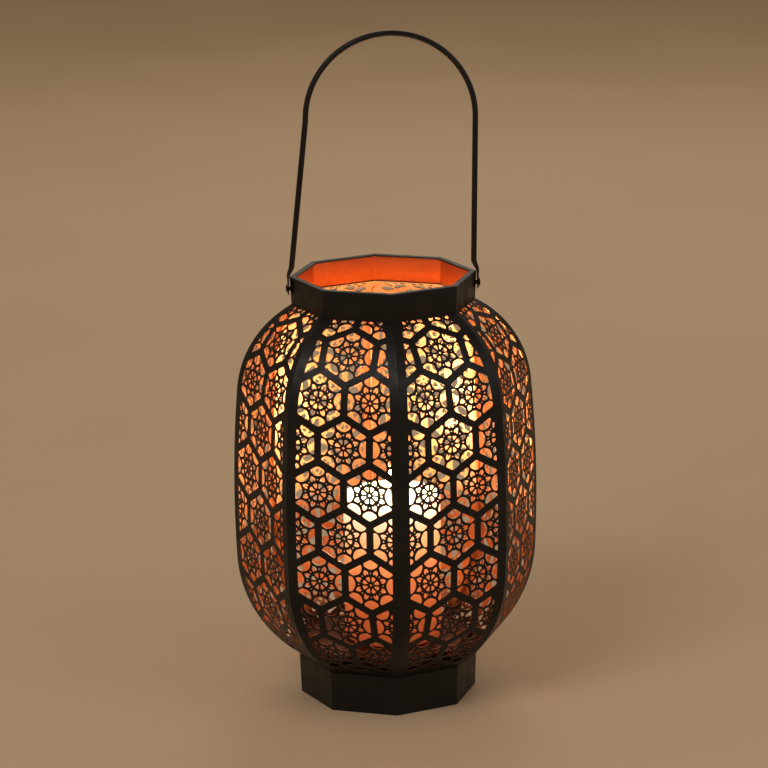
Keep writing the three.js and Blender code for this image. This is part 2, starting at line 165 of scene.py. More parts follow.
class Nodes:
    """A short way to write a material's node tree."""

    def __init__(self, name):
        self.material = bpy.data.materials.new(name)
        self.material.use_nodes = True
        self.tree = self.material.node_tree
        self.shader = self.tree.nodes["Principled BSDF"]
        coordinates = self.tree.nodes.new("ShaderNodeTexCoord")
        self.place = coordinates.outputs["Object"]

    def add(self, kind, inputs=None, **settings):
        node = self.tree.nodes.new(kind)
        for key, value in settings.items():
            setattr(node, key, value)
        for key, value in (inputs or {}).items():
            self.put(node.inputs[key], value)
        return node

    def put(self, socket, value):
        if isinstance(value, bpy.types.NodeSocket):
            self.tree.links.new(value, socket)
        else:
            socket.default_value = value

    def set(self, **values):
        for key, value in values.items():
            self.put(self.shader.inputs[key.replace("_", " ")], value)

    def noise(self, scale, detail=3.0, rough=0.55):
        inputs = {"Vector": self.place, "Scale": scale, "Detail": detail, "Roughness": rough}
        return self.add("ShaderNodeTexNoise", inputs).outputs["Fac"]

    def ramp(self, value, *stops):
        node = self.add("ShaderNodeValToRGB", {"Fac": value})
        elements = node.color_ramp.elements
        while len(elements) < len(stops):
            elements.new(0.5)
        for element, (position, colour) in zip(elements, stops):
            element.position = position
            element.color = (*colour, 1.0)
        return node.outputs["Color"]

    def span(self, value, low, high, start=0.0, end=1.0):
        """From low to high as the value goes from start to end, and level outside them."""
        inputs = {"Value": value, "From Min": start, "From Max": end}
        inputs.update({"To Min": low, "To Max": high})
        return self.add("ShaderNodeMapRange", inputs).outputs["Result"]

    def math(self, operation, a, b):
        node = self.add("ShaderNodeMath", operation=operation)
        self.put(node.inputs[0], a)
        self.put(node.inputs[1], b)
        return node.outputs["Value"]

    def mix(self, share, a, b):
        node = self.add("ShaderNodeMix", data_type="RGBA")
        self.put(node.inputs["Factor"], share)
        for socket, value in ((node.inputs[6], a), (node.inputs[7], b)):
            self.put(socket, value if isinstance(value, bpy.types.NodeSocket) else (*value, 1.0))
        return node.outputs[2]

    def bump(self, height, strength, distance):
        inputs = {"Height": height, "Strength": strength, "Distance": distance}
        self.set(Normal=self.add("ShaderNodeBump", inputs).outputs["Normal"])

    def height(self):
        return self.add("ShaderNodeSeparateXYZ", {"Vector": self.place}).outputs["Z"]


def black_paint():
    """Satin black paint over steel, with a fine orange peel and a little dust and rubbing."""
    n = Nodes("satin_black_paint")
    cloud = n.noise(28.0, 4.0)
    speck = n.noise(900.0, 2.0)
    paint = n.ramp(cloud, (0.3, BLACK["thick"]), (0.72, BLACK["thin"]))
    dust = n.span(n.math("MULTIPLY", cloud, speck), 0.0, 0.3, 0.28, 0.44)
    n.set(Base_Color=n.mix(dust, paint, BLACK["dust"]))
    n.set(Roughness=n.span(n.noise(120.0, 3.0), 0.36, 0.54, 0.3, 0.7))
    n.set(IOR=1.45, Specular_IOR_Level=0.32)
    n.bump(n.noise(1100.0, 2.0, 0.5), 0.22, 0.00018)
    return n.material


def copper_paint(name, shades):
    """Copper lacquer sprayed on the inside: uneven, with painted shade low down and another
    painted tone at the top.
    """
    n = Nodes(name)
    cloud = n.noise(22.0, 5.0, 0.6)
    fleck = n.noise(1400.0, 2.0)
    stops = ((0.28, shades["thick"]), (0.5, shades["usual"]), (0.74, shades["thin"]))
    colour = n.mix(n.span(fleck, 0.0, 0.4, 0.35, 0.7), n.ramp(cloud, *stops), shades["worn"])
    z = n.height()
    # A painted tone towards the top: painted light on the panels, painted shade on the collar
    colour = n.mix(n.span(z, 0.0, 0.8, *shades["upper_over"]), colour, shades["upper"])
    # Painted shade: darker low down inside
    n.set(Base_Color=n.mix(n.span(z, 0.0, 1.0, *LOW_PAINTED_SHADE), LOW_PAINTED_SHADE_COLOUR, colour))
    n.set(Metallic=0.75)
    n.set(Roughness=n.span(n.noise(90.0, 4.0), 0.34, 0.58, 0.3, 0.7))
    n.bump(n.noise(700.0, 3.0), 0.25, 0.0002)
    return n.material


def cut_edge():
    """The sheet's cut edges: a thin overspray of the copper lacquer on browned steel."""
    n = Nodes("cut_sheet_edge")
    overspray = n.noise(260.0, 3.0)
    colour = n.ramp(overspray, (0.35, CUT_EDGE["bare"]), (0.7, CUT_EDGE["sprayed"]))
    # Painted shade: darker low down inside, as on the copper lacquer
    n.set(Base_Color=n.mix(n.span(n.height(), 0.0, 1.0, *LOW_PAINTED_SHADE), LOW_PAINTED_SHADE_COLOUR, colour))
    n.set(Metallic=0.3)
    n.set(Roughness=n.span(n.noise(500.0, 2.0), 0.4, 0.65, 0.3, 0.7))
    n.bump(n.noise(1600.0, 2.0), 0.3, 0.00015)
    return n.material


def candle_wax():
    """Ivory wax: soft inside, faintly mottled, with a painted amber tint low down and a painted
    glow from within below its flame.
    """
    n = Nodes("ivory_candle_wax")
    mottle = n.noise(60.0, 4.0, 0.6)
    fine = n.noise(420.0, 3.0)
    ivory = n.ramp(mottle, (0.3, IVORY["deep"]), (0.72, IVORY["pale"]))
    n.set(Subsurface_Weight=1.0, Subsurface_Radius=(1.0, 0.5, 0.22), Subsurface_Scale=0.014)
    n.set(Roughness=n.span(fine, 0.36, 0.58, 0.3, 0.7))
    n.set(IOR=1.44)
    wave = n.math("ADD", n.height(), n.span(mottle, -0.002, 0.002, 0.3, 0.7))
    up = n.span(wave, 0.0, 1.0, GLOW_FROM * MM, CANDLE["top"] * MM)
    # Painted glow: the wax turns amber low down, standing in for the flame's light seen through it
    n.set(Base_Color=n.mix(n.span(up, 0.85, 0.0, 0.2, 0.7), ivory, IVORY["painted_glow_amber"]))
    # Painted glow: the wax gives light by height, brightest near the flame
    n.set(Emission_Color=n.ramp(up, *PAINTED_WAX_GLOW), Emission_Strength=1.0)
    relief = n.math("ADD", n.math("MULTIPLY", mottle, 0.8), n.math("MULTIPLY", fine, 0.2))
    n.bump(relief, 0.3, 0.0006)
    return n.material


def melted_wax():
    """The clear, hot wax round the wick."""
    n = Nodes("melted_wax")
    cloud = n.noise(90.0, 2.0)
    n.set(Base_Color=n.ramp(cloud, (0.3, MELTED["deep"]), (0.7, MELTED["pale"])))
    n.set(Subsurface_Weight=1.0, Subsurface_Radius=(1.0, 0.55, 0.25), Subsurface_Scale=0.012)
    n.set(Roughness=n.span(n.noise(140.0, 2.0), 0.05, 0.14, 0.3, 0.7))
    n.set(IOR=1.43)
    n.bump(n.noise(110.0, 1.0), 0.1, 0.0005)
    return n.material


def wick_cotton():
    """Plaited cotton: charred black above, waxed and brown where it enters the wax."""
    n = Nodes("charred_wick")
    charred = n.span(n.height(), 0.0, 1.0, 0.1412, 0.1445)
    plait = n.add("ShaderNodeTexWave", {"Vector": n.place, "Scale": 260.0, "Distortion": 3.0})
    weave = plait.outputs["Fac"]
    char = n.ramp(weave, (0.2, COTTON["char"]), (0.8, COTTON["ash"]))
    n.set(Base_Color=n.mix(charred, COTTON["waxed"], char))
    n.set(Roughness=n.span(weave, 0.75, 0.95))
    n.bump(weave, 0.7, 0.0002)
    return n.material


def flame_glow():
    """A still candle flame: blue at its foot, then orange round a pale yellow heart."""
    n = Nodes("candle_flame")
    up = n.span(n.height(), 0.0, 1.0, FLAME["foot"] * MM, FLAME["tip"] * MM)
    flicker = n.math("ADD", up, n.span(n.noise(160.0, 2.0), -0.05, 0.05))
    n.set(Base_Color=(0.0, 0.0, 0.0, 1.0))
    n.set(Emission_Color=n.ramp(flicker, *FLAME_COLOURS), Emission_Strength=FLAME["glow"])
    n.set(Roughness=1.0)
    return n.material


# ------------------------------------------------------------------ meshes


def make_object(name, points, faces, materials, slots=None, smooth_below=40.0):
    """A mesh object from points in millimetres. slots is the number of each face's material, and
    edges sharper than smooth_below degrees stay sharp."""
    mesh = bpy.data.meshes.new(name)
    points = np.asarray(points, float) * MM
    mesh.from_pydata(points.tolist(), [], [tuple(f) for f in faces])
    for material in materials:
        mesh.materials.append(material)
    if slots is not None:
        mesh.polygons.foreach_set("material_index", np.asarray(slots, np.int32))
    mesh.validate()
    mesh.polygons.foreach_set("use_smooth", np.ones(len(mesh.polygons), bool))
    mesh.set_sharp_from_angle(angle=math.radians(smooth_below))
    mesh.update()
    made = bpy.data.objects.new(name, mesh)
    bpy.context.scene.collection.objects.link(made)
    return made


# ------------------------------------------------------------------ barrel outline


def arc_centre(end):
    """Centre of the arc that runs smoothly out of the side arc and ends at a point."""
    belly = np.array([BELLY["radius"] - BELLY["arc"], BELLY["height"]])
    target = np.array([end["radius"], end["height"]])
    reach = BELLY["arc"] - end["arc"]
    line = target - belly
    span = np.linalg.norm(line)
    along = (reach**2 - end["arc"] ** 2 + span**2) / (2 * span)
    across = math.sqrt(reach**2 - along**2)
    line /= span
    side = np.array([-line[1], line[0]]) * across
    if end["height"] > BELLY["height"]:
        side = -side
    return belly + line * along + side


def outline_arcs():
    """The three arcs of the corner outline, top to bottom: centre, radius, from, to."""
    side = np.array([BELLY["radius"] - BELLY["arc"], BELLY["height"]])
    shoulder, foot = arc_centre(SHOULDER), arc_centre(FOOT)
    upper = math.atan2(shoulder[1] - side[1], shoulder[0] - side[0])
    lower = math.atan2(foot[1] - side[1], foot[0] - side[0])
    tucked = BAND_CORNER + GAP
    top = math.acos((COLLAR["bottom"] - tucked - shoulder[0]) / SHOULDER["arc"])
    bottom = -math.acos((BASE["top"] - tucked - foot[0]) / FOOT["arc"])
    return [
        (shoulder, SHOULDER["arc"], top, upper),
        (side, BELLY["arc"], upper, lower),
        (foot, FOOT["arc"], lower, bottom),
    ]


ARCS = outline_arcs()


def surface_height(arc, corner_radius):
    """Height of the barrel's surface at a corner radius near the neck or near the foot."""
    centre, radius, start, end = arc
    rise = math.sqrt(radius**2 - (corner_radius - centre[0]) ** 2)
    return centre[1] + math.copysign(rise, start + end)


class SideLine:
    """The line down the middle of one side, by the distance v along it from its top."""

    def __init__(self, steps=900):
        corner, height, angles = [], [], []
        for centre, radius, start, end in ARCS:
            turn = np.linspace(start, end, steps)
            corner.append(centre[0] + radius * np.cos(turn))
            height.append(centre[1] + radius * np.sin(turn))
            angles.append(turn)
        self.radius = np.concatenate(corner) * TO_FACE
        self.height = np.concatenate(height)
        step = np.hypot(np.diff(self.radius), np.diff(self.height))
        self.distance = np.concatenate([[0.0], np.cumsum(step)])
        turn = np.concatenate(angles)
        # The side line is the corner line squeezed towards the axis, so its normal tilts too
        out, up = np.cos(turn), np.sin(turn) * TO_FACE
        length = np.hypot(out, up)
        self.out, self.up = out / length, up / length
        keep = np.concatenate([[True], step > 1e-9])
        for name in ("radius", "height", "distance", "out", "up"):
            setattr(self, name, getattr(self, name)[keep])
        self.length = self.distance[-1]

    def at(self, v):
        """Radius, height and outward normal at a distance."""
        lines = (self.radius, self.height, self.out, self.up)
        return [np.interp(v, self.distance, line) for line in lines]

    def distance_at(self, height):
        return float(np.interp(-height, -self.height, self.distance))

    def half_width(self, v, edge):
        """Half the side's width at v, with its edges pulled back from the corner planes."""
        radius = np.interp(v, self.distance, self.radius)
        return radius * math.tan(HALF_SIDE) - edge / TO_FACE


SIDE = SideLine()

# ------------------------------------------------------------------ fretwork pattern


def circle(x, y, radius, count):
    turn = 2 * math.pi * np.arange(count) / count
    return np.stack([x + radius * np.cos(turn), y + radius * np.sin(turn)], 1)


def turned(points, angle):
    c, s = math.cos(angle), math.sin(angle)
    return points @ np.array([[c, s], [-s, c]])


def mirrored(half):
    """A closed outline from its upper half, whose first and last points are on the X axis."""
    lower = [(x, -y) for x, y in reversed(half) if y > 0]
    return np.array(half + lower, float)[::-1]


def clip(points, normal, limit):
    """The part of an outline where normal . p is below a limit."""
    if len(points) < 3:
        return points
    side = points @ np.asarray(normal) - limit
    if side.max() <= 0:
        return points
    kept = []
    for i in range(len(points)):
        j = (i + 1) % len(points)
        if side[i] <= 0:
            kept.append(points[i])
        if (side[i] < 0 < side[j]) or (side[j] < 0 < side[i]):
            share = side[i] / (side[i] - side[j])
            kept.append(points[i] + share * (points[j] - points[i]))
    return np.array(kept).reshape(-1, 2)


def area(points):
    x, y = points[:, 0], points[:, 1]
    return 0.5 * float(np.sum(x * np.roll(y, -1) - np.roll(x, -1) * y))


def resampled(points, step):
    """The closed outline as evenly spaced points."""
    closed = np.vstack([points, points[:1]])
    lengths = np.hypot(*np.diff(closed, axis=0).T)
    total = lengths.sum()
    count = max(8, int(round(total / step)))
    at = np.concatenate([[0.0], np.cumsum(lengths)])
    where = total * np.arange(count) / count
    return np.stack([np.interp(where, at, closed[:, k]) for k in (0, 1)], 1)


def softened(points, step, passes):
    """The outline with its corners rounded, as cuts in thin sheet have them."""
    points = resampled(points, step)
    for _ in range(passes):
        around = np.roll(points, 1, 0) + np.roll(points, -1, 0)
        points = 0.5 * points + 0.25 * around
    return points


def thinned(points):
    """The outline without the points that lie on the line between their neighbours."""
    kept = list(map(tuple, points))
    i = 0
    while i < len(kept) and len(kept) > LEAST["points"]:
        (ax, ay), (bx, by), (cx, cy) = kept[i - 1], kept[i], kept[(i + 1) % len(kept)]
        span = math.hypot(cx - ax, cy - ay)
        off = abs((cx - ax) * (by - ay) - (cy - ay) * (bx - ax)) / max(span, 1e-9)
        if off < LEAST["bend"]:
            del kept[i]
        # The point after a dropped one is kept, so that a curve loses every other point at most
        i += 1
    return np.array(kept)


# Upper halves of the cuts in a rosette, along its spokes: (from the centre, across)
PETAL = [(2.25, 0.0), (2.5, 0.28), (5.0, 1.48), (5.5, 1.42), (5.9, 0.95), (6.05, 0.0)]
HEART = [
    (8.9, 0.0),
    (8.0, 0.3),
    (7.5, 0.7),
    (7.5, 1.05),
    (7.85, 1.45),
    (8.4, 1.72),
    (9.0, 1.75),
    (9.6, 1.6),
    (10.2, 1.32),
    (10.75, 0.92),
    (11.25, 0.45),
    (11.5, 0.0),
]
OPENING = [
    (11.1, 0.0),
    (11.1, 1.0),
    (11.5, 1.9),
    (12.0, 2.85),
    (12.5, 3.8),
    (13.0, 4.4),
    (13.5, 4.75),
    (14.0, 4.95),
    (15.0, 5.15),
    (16.5, 5.3),
    (18.6, 5.4),
    (18.6, 0.0),
]
HOLES = dict(centre=0.8, centre_points=9, dot=0.54, dot_at=8.65, dot_points=7)
ROUNDING = dict(petal=(0.4, 1), heart=(0.3, 1), opening=(0.5, 2), hole=(0.0, 0))
FACING_EDGE = dict(nearer=0.15, wider=1.1)
# A cut that the panel's edge leaves less than this of is not made at all
LEAST = dict(share=0.12, area=0.5, points=5, bend=0.035)
INRADIUS = (PITCH - BAR) / 2


def rosette():
    """One cell's cuts about its centre, each with its rounding: (outline, (step, passes))."""
    cuts = [(circle(0, 0, HOLES["centre"], HOLES["centre_points"]), ROUNDING["hole"])]
    petal, heart, opening = mirrored(PETAL), mirrored(HEART), mirrored(OPENING)
    dot = circle(HOLES["dot_at"], 0, HOLES["dot"], HOLES["dot_points"])
    for k in range(8):
        spoke = k * math.pi / 4
        between = spoke + math.pi / 8
        cuts.append((turned(petal, between), ROUNDING["petal"]))
        cuts.append((turned(heart, between), ROUNDING["heart"]))
        cuts.append((turned(dot, spoke), ROUNDING["hole"]))
        # The openings that face a flat side of the cell are a little wider than the others
        shape = opening
        if k % 4 == 0:
            shape = opening * (1, FACING_EDGE["wider"]) - (FACING_EDGE["nearer"], 0)
        shape = turned(shape, spoke)
        for side in range(6):
            turn = side * math.pi / 3
            shape = clip(shape, (math.cos(turn), math.sin(turn)), INRADIUS)
        cuts.append((shape, ROUNDING["opening"]))
    return cuts


ROSETTE = rosette()


def panel_cuts():
    """Every cut of one side, as outlines in (u across, v down the side)."""
    top, bottom = SIDE.distance_at(WINDOW[1]), SIDE.distance_at(WINDOW[0])
    start = SIDE.distance_at(ROW_HEIGHT)
    row_pitch = PITCH * math.cos(math.pi / 6)
    found = []
    for row in ROWS:
        v = start + row * row_pitch
        columns = (-1, 0, 1) if row % 2 == 0 else (-0.5, 0.5)
        for column in columns:
            u = column * PITCH
            for outline, (step, passes) in ROSETTE:
                placed = outline * (1, -1) + (u, v)
                least = max(LEAST["share"] * abs(area(placed)), LEAST["area"])
                placed = window_clip(placed, top, bottom)
                if len(placed) < 3 or abs(area(placed)) < least:
                    continue
                if passes:
                    placed = softened(placed, step, passes)
                placed = thinned(placed)
                found.append(placed if area(placed) > 0 else placed[::-1])
    return found


def window_clip(placed, top, bottom):
    """An outline cut off at the plain edges that run along the corners and both bands."""
    placed = clip(placed, (0, -1), -top)
    placed = clip(placed, (0, 1), bottom)
    if len(placed) < 3:
        return placed
    low, high = placed[:, 1].min(), placed[:, 1].max()
    wide = SIDE.half_width(np.array([low, high]), EDGE)
    lean = (wide[1] - wide[0]) / (high - low)
    for sign in (-1, 1):
        # sign * u < wide + lean * (v - low), over the short height of this one cut
        placed = clip(placed, (sign, -lean), wide[0] - lean * low)
    return placed


# ------------------------------------------------------------------ fret panels

# The furthest that two lines across the sheet are apart, on each arc of the outline
BEND_STEPS = (2.6, 14.0, 2.6)
BLACK_SLOT, COPPER_SLOT, EDGE_SLOT = range(3)


def bend_lines():
    """Distances at which the sheet is divided across, so that it bends smoothly."""
    lines = [0.0]
    total = 0.0
    for (_, radius, start, end), most in zip(ARCS, BEND_STEPS):
        sweep = abs(start - end) * radius
        steps = max(2, int(math.ceil(sweep / most)))
        lines += [total + sweep * (i + 1) / steps for i in range(steps)]
        total += sweep
    scale = SIDE.length / total
    return [v * scale for v in lines]


def cut_sheet():
    """The flat fretwork as points (u, v) and triangles of metal."""
    lines = bend_lines()
    wide = [float(SIDE.half_width(v, MITRE_GAP)) for v in lines]
    points = [(w, v) for w, v in zip(wide, lines)]
    points += [(-w, v) for w, v in reversed(list(zip(wide, lines)))]
    outline = list(range(len(points)))
    if area(np.array(points)) < 0:
        outline.reverse()
    last = len(points) - 1
    segments = [(i, last - i) for i in range(1, len(lines) - 1)]
    faces = [outline]
    for cut in panel_cuts():
        first = len(points)
        points += [tuple(p) for p in cut]
        faces.append(list(range(first, len(points))))
    # The triangles inside the outline, each with the numbers of the faces it lies in
    made = delaunay_2d_cdt([Vector(p) for p in points], segments, faces, 1, 1e-5, True)
    flat, _, triangles, _, _, inside = made
    metal = [t for t, owners in zip(triangles, inside) if owners == [0]]
    return np.array([tuple(p) for p in flat]), np.array([list(t) for t in metal])


def panel_mesh():
    """One side's front, back and cut walls: points (radius, u, height), faces, slots."""
    flat, metal = cut_sheet()
    used = np.unique(metal)
    number = -np.ones(len(flat), int)
    number[used] = np.arange(len(used))
    flat, metal = flat[used], number[metal]
    u, v = flat[:, 0], flat[:, 1]
    radius, height, out, up = SIDE.at(v)
    front = np.stack([radius, u, height], 1)
    # The back face ends a little sooner at the mitred corners
    at_corner = np.abs(u) > SIDE.half_width(v, 1.0)
    mitre = SHEET * out * math.tan(HALF_SIDE) * np.sign(u) * at_corner
    back = np.stack([radius - SHEET * out, u - mitre, height - SHEET * up], 1)
    count = len(front)
    # A dict, because it keeps the edges in order
    edges = {(t[k - 1], t[k]): True for t in metal for k in (1, 2, 0)}
    rim = [(a, b) for a, b in edges if (b, a) not in edges]
    # The triangles all run the same way round, and the first one tells whether they face out
    a, b, c = metal[0]
    normal = np.cross(front[b] - front[a], front[c] - front[a])
    faces_out = normal[0] * out[a] + normal[2] * up[a] > 0
    shown = metal if faces_out else metal[:, ::-1]
    hidden = shown[:, ::-1] + count
    if faces_out:
        walls = [(b, a, a + count, b + count) for a, b in rim]
    else:
        walls = [(a, b, b + count, a + count) for a, b in rim]
    faces = [tuple(f) for f in shown] + [tuple(f) for f in hidden] + walls
    # The mitred edges along the corners are painted like the outside
    mitred = [at_corner[a] and at_corner[b] for a, b in rim]
    slots = [BLACK_SLOT] * len(shown) + [COPPER_SLOT] * len(hidden)
    slots += [BLACK_SLOT if m else EDGE_SLOT for m in mitred]
    return np.vstack([front, back]), faces, slots


def round_axis(points, angle):
    """Points (radius, u, height) turned to face an azimuth."""
    c, s = math.cos(angle), math.sin(angle)
    x = points[:, 0] * c - points[:, 1] * s
    y = points[:, 0] * s + points[:, 1] * c
    return np.stack([x, y, points[:, 2]], 1)


def add_panels(black, copper, edge):
    points, faces, slots = panel_mesh()
    for i in range(SIDES):
        azimuth = (2 * i + 1) * HALF_SIDE - math.pi / 2
        placed = round_axis(points, azimuth)
        panel = make_object(f"fretwork_{i + 1}", placed, faces, [black, copper, edge], slots)
        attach(panel, "lantern_body")
        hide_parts(f"fret_panel_{i + 1}")


# ------------------------------------------------------------------ bands, pan and seams

# Degrees from a corner within which a band is bent, and its stops there
CORNER_ROUND = 0.8
CORNER_TURNS = (-CORNER_ROUND, -0.35 * CORNER_ROUND, 0.35 * CORNER_ROUND, CORNER_ROUND)
PARTS_PER_SIDE = 4
# Edges of a band's outline that face inwards, and so are copper
INSIDE_EDGES = (3, 4)


def octagon_stops():
    """Azimuths round an octagon with a corner on +X, and the share of the corner radius at each.
    No stop is on a corner, only close to it on both sides, which rounds the corner a little."""
    turns, scale = [], []
    for i in range(SIDES):
        corner = i * 2 * HALF_SIDE
        for degrees in CORNER_TURNS:
            turn = math.radians(degrees)
            turns.append(corner + turn)
            scale.append(TO_FACE / math.cos(HALF_SIDE - abs(turn)))
        for k in range(1, PARTS_PER_SIDE):
            turn = -HALF_SIDE + 2 * HALF_SIDE * k / PARTS_PER_SIDE
            turns.append(corner + HALF_SIDE + turn)
            scale.append(TO_FACE / math.cos(turn))
    order = np.argsort(turns)
    return np.array(turns)[order], np.array(scale)[order]


def add_ring(name, outline, slots, materials, node):
    """A folded band: outline points (corner radius, height), with the slot of each edge."""
    turns, scale = octagon_stops()
    outline = np.array(outline, float)
    count = len(outline)
    points = []
    for turn, pull in zip(turns, scale):
        for radius, height in outline:
            points.append((radius * pull * math.cos(turn), radius * pull * math.sin(turn), height))
    faces, chosen = [], []
    around = len(turns)
    for i in range(around):
        j = (i + 1) % around
        for k in range(count):
            m = (k + 1) % count
            faces.append((i * count + k, j * count + k, j * count + m, i * count + m))
            chosen.append(slots[k])
    made = make_object(name, points, faces, materials, chosen, 50.0)
    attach(made, "lantern_body")
    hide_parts(node)
    return made


def soft_outline(points, radius=0.35, steps=3):
    """The outline with each corner rounded but those on the axis, and the old edge's number for
    each new edge."""
    points = [np.array(p, float) for p in points]
    made, owner = [], []
    count = len(points)
    for i, corner in enumerate(points):
        if corner[0] == 0:
            made.append(corner)
            owner.append(i)
            continue
        before, after = points[i - 1], points[(i + 1) % count]
        to_before = before - corner
        to_after = after - corner
        reach = min(radius, 0.45 * np.linalg.norm(to_before), 0.45 * np.linalg.norm(to_after))
        one = corner + to_before / np.linalg.norm(to_before) * reach
        two = corner + to_after / np.linalg.norm(to_after) * reach
        for k in range(steps + 1):
            t = k / steps
            made.append((1 - t) ** 2 * one + 2 * t * (1 - t) * corner + t**2 * two)
            owner.append(i if k >= steps / 2 else (i - 1) % count)
    return made, owner


def add_collar(black, copper):
    inner = COLLAR["bottom"] - BAND_CORNER
    mouth = COLLAR["top"] - COLLAR["lip"]
    outline = [
        (COLLAR["bottom"], surface_height(ARCS[0], COLLAR["bottom"]) + GAP),
        (COLLAR["top"], COLLAR["height"]),
        (mouth, COLLAR["height"]),
        (mouth, COLLAR["height"] - BAND),
        (COLLAR["top"] - BAND_CORNER, COLLAR["height"] - BAND),
        (inner, surface_height(ARCS[0], inner) + GAP),
    ]
    made, owner = soft_outline(outline)
    slots = [int(o in INSIDE_EDGES) for o in owner]
    add_ring("collar", made, slots, [black, copper], "collar_band")


def add_base(black, copper):
    inner_top = BASE["top"] - BAND_CORNER
    inner_bottom = BASE["bottom"] - BAND_CORNER
    lip = BASE["bottom"] - BASE["hem"]
    outline = [
        (lip, 0.0),
        (BASE["bottom"], 0.0),
        (BASE["top"], surface_height(ARCS[2], BASE["top"]) - GAP),
        (inner_top, surface_height(ARCS[2], inner_top) - GAP),
        (inner_bottom, BAND),
        (lip, BAND),
    ]
    made, owner = soft_outline(outline)
    slots = [int(o in INSIDE_EDGES) for o in owner]
    # The base's copper inside lies wholly in the painted shade low down
    add_ring("base", made, slots, [black, copper], "base_band")


def add_pan(copper):
    radius = BASE["bottom"] - BAND_CORNER - GAP
    sheet = PAN["sheet"] / TO_FACE
    top, low = PAN["top"], PAN["top"] - PAN["flange"]
    outline = [
        (0.0, top),
        (0.0, top - PAN["sheet"]),
        (radius - sheet, top - PAN["sheet"]),
        (radius - sheet, low),
        (radius, low),
        (radius, top),
    ]
    made, owner = soft_outline(outline, 0.4)
    # The pan lies wholly in the painted shade low down, so it is dark all over
    weld(add_ring("pan", made, [0] * len(owner), [copper], "floor_pan"))


def weld(made):
    """Joins the points that meet on the axis, and drops the edge that this leaves bare."""
    mesh = bmesh.new()
    mesh.from_mesh(made.data)
    bmesh.ops.remove_doubles(mesh, verts=mesh.verts, dist=1e-6)
    bare = [e for e in mesh.edges if not e.link_faces]
    bmesh.ops.delete(mesh, geom=bare, context="EDGES")
    mesh.to_mesh(made.data)
    mesh.free()


def tube_mesh(path, sizes, around, sideways):
    """A closed skin round a path. sizes are (half across, half along sideways) at each stop."""
    points, faces = [], []
    path = [Vector(p) for p in path]
    sideways = Vector(sideways)
    for i, stop in enumerate(path):
        along = (path[min(i + 1, len(path) - 1)] - path[max(i - 1, 0)]).normalized()
        across = sideways.cross(along).normalized()
        thick, wide = sizes[i]
        for k in range(around):
            angle = 2 * math.pi * k / around
            p = stop + across * (thick * math.cos(angle)) + sideways * (wide * math.sin(angle))
            points.append(tuple(p))
    for i in range(len(path) - 1):
        for k in range(around):
            a, b = i * around + k, i * around + (k + 1) % around
            faces.append((a, b, b + around, a + around))
    last = (len(path) - 1) * around
    faces.append(tuple(reversed(range(around))))
    faces.append(tuple(range(last, last + around)))
    return points, faces


def add_seams(solder):
    """A solder bead down the inside of each corner, uneven as a hand lays it."""
    rng = random.Random(8)
    depth = SHEET + GAP + SEAM["radius"] / TO_FACE + GAP
    stops = []
    for centre, radius, start, end in ARCS:
        for i in range(SEAM["stops"]):
            turn = start + (end - start) * i / SEAM["stops"]
            inner = radius - depth
            stops.append((centre[0] + inner * math.cos(turn), centre[1] + inner * math.sin(turn)))
    stops = stops[SEAM["skip_top"] : -SEAM["skip_foot"]]
    for i in range(SIDES):
        azimuth = i * 2 * HALF_SIDE - math.pi / 2
        c, s = math.cos(azimuth), math.sin(azimuth)
        path = [(r * c, r * s, z) for r, z in stops]
        phase = rng.uniform(0, 9)
        sizes = []
        for k in range(len(stops)):
            wave = math.sin(k * 1.9 + phase) * math.sin(k * 0.7 + phase)
            lump = 1 - SEAM["uneven"] + SEAM["uneven"] * wave
            taper = min(1.0, 0.45 + 0.3 * min(k, len(stops) - 1 - k))
            sizes.append((SEAM["radius"] * lump * taper,) * 2)
        points, faces = tube_mesh(path, sizes, SEAM["around"], (-s, c, 0))
        seam = make_object(f"solder_seam_{i + 1}", points, faces, [solder])
        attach(seam, "lantern_body")
        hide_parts(f"corner_seam_{i + 1}")


# ------------------------------------------------------------------ handle and rivets

# Shares of the lug's lower end, and into how many parts the rest of the wire is divided
WIRE_STOPS = dict(lug=(0.0, 0.12, 0.3, 0.55, 0.8, 1.0), crank=8, leg=14, arch=64, around=28)
# The wire grows round all the way up the crank, but bends inwards only from this share of it
BEND_FROM = 0.3


def eased(t):
    """From 0 to 1, starting and ending gently."""
    return t * t * (3 - 2 * t)


def lug_and_crank(side):
    """Stops from the flat end below the rivet up to where the wire is round again."""
    x, z = side * LUG_CENTRE, RIVET_HEIGHT
    flat, broad = LUG["thick"], LUG["wide"]
    stops = []
    for share in WIRE_STOPS["lug"]:
        # The hammered end is half round, and thinner towards its tip
        wide = broad * math.sqrt(max(0.04, 1 - (1 - share) ** 2))
        stops.append((x, z - LUG["below"] * (1 - share), flat * (0.75 + 0.25 * share), wide))
    stops.append((x, z + LUG["straight"], flat, broad))
    leg = side * LEG_RADIUS
    start, end = z + CRANK["start"], z + CRANK["end"]
    for k in range(1, WIRE_STOPS["crank"] + 1):
        t = k / WIRE_STOPS["crank"]
        rounder = eased(t)
        place = x + (leg - x) * eased(max(0.0, (t - BEND_FROM) / (1 - BEND_FROM)))
        thick, wide = flat + (WIRE - flat) * rounder, broad + (WIRE - broad) * rounder
        stops.append((place, start + (end - start) * t, thick, wide))
    return stops


def handle_path():
    """Stops of the wire from the left lug to the right one: x, z, half thickness, half width."""
    left = lug_and_crank(-1)
    right = lug_and_crank(1)[::-1]
    arch = []
    for i in range(WIRE_STOPS["arch"] + 1):
        angle = math.pi * (1 - i / WIRE_STOPS["arch"])
        x = ARCH["lean"] + ARCH["radius"] * math.cos(angle)
        arch.append((x, ARCH["height"] + ARCH["radius"] * math.sin(angle), WIRE, WIRE))
    return left + between(left[-1], arch[0]) + arch + between(arch[-1], right[0]) + right


